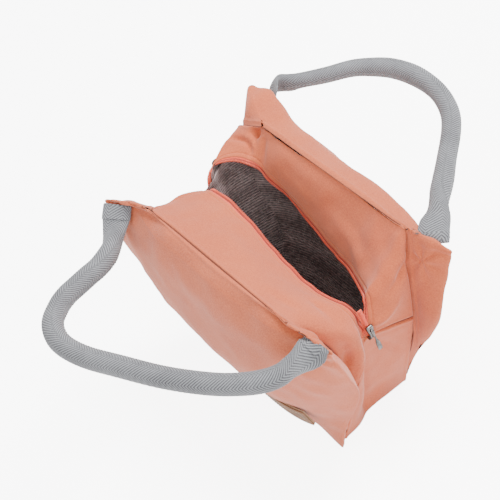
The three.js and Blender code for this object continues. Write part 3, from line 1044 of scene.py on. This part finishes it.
BACK_HANDLE = [
    ((-135, 108, 197), (0.66, -0.1, 0.74), *FLAT),
    ((-139, 113, 201), (0.66, -0.1, 0.74), *FLAT),
    ((-144, 119.5, 204.5), (0.6, 0, 0.8), 30, 4),
    ((-150, 126, 205), (0.45, 0.1, 0.88), 28, 8),
    ((-149, 133, 204), (0.2, 0.1, 0.97), 24, 12),
    ((-142, 141, 203), (0, 0, 1), 20, 14.5),
    ((-136, 151, 202.5), (0, 0, 1), 16.5, 16),
    ((-122, 173, 202), (0, 0, 1), 17, 17),
    ((-109, 196, 202), (0, 0, 1), 18, 18),
    ((-96, 211, 201), (0, 0, 1), 19.5, 19.5),
    ((-75, 225, 201), (0, 0, 1), *ROUND),
    ((-47, 232, 201), (0, 0, 1), *ROUND),
    ((-15, 230, 201), (0, 0, 1), *SLIM),
    ((14, 218, 201), (0, 0, 1), *SLIM),
    ((35, 200, 201), (0, 0, 1), *SLIM),
    ((61, 168, 202), (0, 0, 1), *SLIM),
    ((78, 147, 203), (0, 0, 1), *ROUND),
    ((91, 130, 204), (0.3, 0, 0.9), 22, 20),
    ((102, 117, 205.5), (0.7, 0.15, 0.6), 23.5, 16),
    ((110, 107, 207), (0.9, 0.3, 0.2), 27, 9),
    ((117, 98, 208.5), (0.93, 0.37, 0), 30, 4),
    ((124, 90, 209), (0.95, 0.3, 0), *FLAT),
    ((128.5, 86, 206.5), (0.95, 0.3, 0), *FLAT),
    ((130.5, 84.5, 203.5), (0.95, 0.3, 0), *FLAT),
]


# Rings of a handle, the stretches of them under the bands at its ends, and the rings that the
# stitched bars lie on.
HANDLE_RINGS = 1000
HANDLE_SIDES = 42
BANDS = {"left": slice(6, 84), "right": slice(HANDLE_RINGS - 84, HANDLE_RINGS - 16)}
BARS = {"left": 88, "right": HANDLE_RINGS - 75}
SEAM_SHARE = 0.16


def finish_handle_piece(piece, panel, material, *replaced):
    """Gives a piece of a handle its look and hides what it stands for, with no body to ride on."""
    finish_piece(piece, material, None, "webbing", *replaced)
    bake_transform(piece)


def make_handle(panel, stations):
    side = -1 if panel == "front" else 1
    count = HANDLE_RINGS
    shares = np.linspace(0, 1, count)
    centres = spline([s[0] for s in stations], shares)
    along = unit(np.gradient(centres, axis=0))
    wide = spline([s[1] for s in stations], shares)
    wide = unit(wide - along * np.sum(wide * along, -1, keepdims=True))
    high = unit(np.cross(along, wide))
    widths = spline([[s[2]] for s in stations], shares)[:, 0]
    heights = np.maximum(spline([[s[3]] for s in stations], shares)[:, 0], WEBBING_THICKNESS)
    lumps = np.array([noise.noise(Vector((k * 0.02, side * 5.0, 0))) for k in range(count)])
    cover = tube(f"{panel}_handle_cover", centres, wide, high, widths + lumps, heights, HANDLE_SIDES)
    nodes = [f"{panel}_handle_{part}" for part in ("webbing", "rope", "left_end", "right_end")]
    finish_handle_piece(cover, panel, webbing, *nodes)
    inside = -side * high * np.sign(high[:, 1:2])
    middle = slice(int(count * SEAM_SHARE), int(count * (1 - SEAM_SHARE)))
    line = (centres + inside * heights[:, None] / 2)[middle]
    seam = stitches(f"{panel}_handle_seam", line, inside[middle], 2.6, 1.2, 0.8)
    finish_handle_piece(seam, panel, grey_thread)
    for word, part in BANDS.items():
        size = (widths[part] + 1.4, heights[part] + 1.8)
        frames = (centres[part], wide[part], high[part])
        band = tube(f"{panel}_handle_{word}_band", *frames, *size, HANDLE_SIDES)
        finish_handle_piece(band, panel, webbing)
    for word, k in BARS.items():
        row = centres[k] + wide[k] * np.linspace(-0.34, 0.34, 12)[:, None] * widths[k]
        for sign, face in ((1, "a"), (-1, "b")):
            outs = np.tile(sign * high[k], (12, 1))
            thread = row + outs * (heights[k] / 2)
            bar = stitches(f"{panel}_handle_{word}_bar_{face}", thread, outs, 2.0, 0.8, 0.8)
            finish_handle_piece(bar, panel, grey_thread)


make_handle("front", FRONT_HANDLE)
make_handle("back", BACK_HANDLE)


# ---- label, slider and small parts

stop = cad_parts["zip_bottom_stop"]
stop.data.materials.clear()
stop.data.materials.append(nickel)

CLOSED_TAPE_REACH = 2.8
CLOSED_COIL_LENGTH = 4.6


def make_closed_zip(end):
    """The closed stretch of zip at an end: its tape, and coils that mesh across the middle."""
    side = -1 if end == "left" else 1
    low, high = (np.array(corner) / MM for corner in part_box(f"{end}_end_zip"))
    outer = high[0] if side > 0 else low[0]
    inner = low[0] if side > 0 else high[0]
    shares = np.linspace(0, 1, 40)
    rise = high[2] - low[2]
    line = np.stack([outer + (inner - outer) * shares, 0 * shares, low[2] + rise * shares], -1)
    out = unit(np.array([side * rise, 0, high[0] - low[0]]))
    line = line - out * 1.2
    across = np.array([0, side, 0])
    reaches = np.linspace(-CLOSED_TAPE_REACH, CLOSED_TAPE_REACH, 9)
    tape = np.stack([line + across * reach for reach in reaches], 1)
    piece = shell(f"{end}_closed_tape", tape, ZIP_TAPE)
    finish_piece(piece, coral_tape, "shell", "zip", f"{end}_end_zip")
    points = resample(line, TOOTH_PITCH) + out * 0.5
    count = len(points)
    template, faces = pebble(*TOOTH, CLOSED_COIL_LENGTH)
    fix = (np.tile(v, (count, 1)) for v in (unit(line[-1] - line[0]), out, across))
    teeth = scatter(f"{end}_closed_teeth", template, faces, points, *fix)
    finish_piece(teeth, coral_teeth, "shell", "zip", f"{end}_end_zip")


make_closed_zip("right")
make_closed_zip("left")

LABEL_THICKNESS = 3.2
LABEL_LIFT = 5
LABEL_LEAN = 0.3


def make_label(cloth):
    """A folded strip of leather sewn low on the front cloth, brown with a pale edge."""
    low, high = (np.array(corner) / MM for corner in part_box("leather_label"))
    u, v = np.meshgrid(np.linspace(0, 1, 44), np.linspace(0, 1, 18))
    x = low[0] + (high[0] - low[0]) * u
    z = low[2] + (high[2] - low[2]) * v
    outer = cloth.reshape(-1, 3)
    gaps = (outer[:, 0] - x[..., None]) ** 2 + (outer[:, 2] - z[..., None]) ** 2 + (outer[:, 1] > -50) * 1e6
    y = outer[gaps.argmin(-1), 1] - LABEL_THICKNESS - LABEL_LIFT * u**3
    lean = LABEL_LEAN * (low[2] - z)
    smooth = np.polynomial.Polynomial.fit(u.ravel(), (y - lean).ravel(), 3)
    y = smooth(u) + lean
    grid = np.stack([x, y, z], -1)
    front = shell("label_front", grid, LABEL_THICKNESS / 2)
    finish_piece(front, leather, "shell", "leather", "leather_label")
    back = shell("label_back", grid - normals(grid) * (LABEL_THICKNESS / 2 + 0.1), LABEL_THICKNESS / 2)
    finish_piece(back, leather_edge, "shell", "leather", "leather_label")
    inset = slice(2, -2)
    ring, ring_out = (border(points[inset, inset]) for points in (grid, normals(grid)))
    thread = stitches("label_stitches", ring, ring_out, 2.2, 1.2, 0.7)
    finish_piece(thread, label_thread, "shell", "leather")


make_label(front_cloth)


BLOCK_SIDES = 16


def block(name, place, along, sections):
    """A small rounded piece, its width along Y, from sections along its length: distance, width and
    thickness."""
    along = unit(np.array(along, float))
    wide = np.array([0, 1, 0])
    high = np.cross(along, wide)
    smooth = spline(sections, np.linspace(0, 1, 5 * len(sections)))
    centres = np.array(place) + along * smooth[:, :1]
    turn = np.linspace(0, 2 * math.pi, BLOCK_SIDES, endpoint=False)
    square = (np.abs(np.cos(turn)) ** 4 + np.abs(np.sin(turn)) ** 4) ** -0.25
    rings = (
        centres[:, None]
        + wide * (np.cos(turn) * square * smooth[:, 1:2] / 2)[..., None]
        + high * (np.sin(turn) * square * smooth[:, 2:3] / 2)[..., None]
    )
    vertices = np.concatenate([rings.reshape(-1, 3), centres[:1], centres[-1:]])
    return mesh_piece(name, vertices, capped_faces(len(centres), BLOCK_SIDES))


END_DOWN = (0.308, 0, -0.951)
TAB_DOWN = (0.40, 0, -0.917)
TAB_PIVOT = (127.45, 0, 150.3)

# Sections of the slider and of its pull tab: distance along, width and thickness.
SLIDER_SECTIONS = [(0, 7.4, 3), (1.5, 8.2, 4.2), (6, 6.8, 4.4), (10, 5.4, 4), (12.5, 4.6, 3)]
BRIDGE_SECTIONS = [(0, 1.8, 1), (2, 1.8, 2.2), (5, 1.8, 2.2), (7, 1.8, 1)]
TAB_SECTIONS = [
    (-1.5, 2, 1), (0, 3.4, 1.2), (2, 3, 1.2), (5, 1.9, 1.2), (9, 1.9, 1.2),
    (11, 3.4, 1.3), (14, 4.8, 1.4), (19, 5, 1.4), (21, 4.4, 1.2),
]


def make_slider():
    body = block("slider_body", (122.7, 0, 153.6), END_DOWN, SLIDER_SECTIONS)
    finish_piece(body, nickel, "slider", "metal", "zip_slider")
    bridge = block("slider_bridge", (126.2, 0, 151.8), END_DOWN, BRIDGE_SECTIONS)
    finish_piece(bridge, nickel, "slider", "metal", "zip_slider")
    tab = block("pull_tab", TAB_PIVOT, TAB_DOWN, TAB_SECTIONS)
    finish_piece(tab, nickel, "pull", "metal", "zip_pull_tab")


make_slider()


# ---- floor, lights and camera

# What the lights and the camera look at, in metres.
AIM = Vector((0, 0, 0.1))

# The camera's azimuth, elevation and roll in degrees, then its distance, shift and lens.
CAMERA_ANGLES = (62.07, 47.62, -15.65)
CAMERA_DISTANCE = 1.5
CAMERA_RIGHT = -0.0431
CAMERA_UP = 0.0442
CAMERA_SENSOR = 36
CAMERA_ZOOM = 2.982


def make_stage():
    bpy.ops.mesh.primitive_plane_add(size=8, location=(0, 0, -0.001))
    ground = bpy.context.object
    ground.name = "floor"
    look = Look("pale_floor")
    mottle = look.noise(6, 3)
    look.colour(look.ramp(mottle, (0.3, (0.90, 0.90, 0.90)), (0.7, (0.93, 0.93, 0.93))))
    look.set(roughness=0.9, emission_color=(1, 1, 1, 1))
    seen = look.node("LightPath").outputs["Is Camera Ray"]
    look.link(look.math("MULTIPLY_ADD", seen, 6.0, 0.5), look.bsdf.inputs["Emission Strength"])
    ground.data.materials.append(look.material)


def area_light(name, place, size, power):
    data = bpy.data.lights.new(name, "AREA")
    data.size = size
    data.energy = power
    lamp = bpy.data.objects.new(name, data)
    lamp.location = place
    lamp.rotation_euler = (AIM - Vector(place)).to_track_quat("-Z", "Y").to_euler()
    bpy.context.scene.collection.objects.link(lamp)


def make_lights():
    area_light("key", (-0.1, 0.9, 2.0), 1.0, 88)
    area_light("fill", (1.7, -0.5, 1.0), 1.4, 22)
    area_light("front", (-0.6, -1.7, 1.2), 1.4, 16)
    world = bpy.data.worlds.new("studio")
    world.use_nodes = True
    background = world.node_tree.nodes["Background"].inputs
    background["Color"].default_value = (1, 1, 1, 1)
    background["Strength"].default_value = 0.9
    bpy.context.scene.world = world


def make_camera():
    azimuth, elevation, roll = (math.radians(a) for a in CAMERA_ANGLES)
    level = math.cos(elevation)
    back = Vector((math.sin(azimuth) * level, -math.cos(azimuth) * level, math.sin(elevation)))
    right = Vector((math.cos(azimuth), math.sin(azimuth), 0))
    up = back.cross(right)
    turned_right = right * math.cos(roll) + up * math.sin(roll)
    turned_up = up * math.cos(roll) - right * math.sin(roll)
    place = AIM + back * CAMERA_DISTANCE + turned_right * CAMERA_RIGHT + turned_up * CAMERA_UP
    data = bpy.data.cameras.new("camera")
    data.sensor_width = CAMERA_SENSOR
    data.lens = CAMERA_SENSOR * CAMERA_ZOOM
    camera = bpy.data.objects.new("camera", data)
    turned = Matrix((turned_right, turned_up, back)).transposed().to_4x4()
    camera.matrix_world = Matrix.Translation(place) @ turned
    bpy.context.scene.collection.objects.link(camera)
    bpy.context.scene.camera = camera


make_stage()
make_lights()
make_camera()
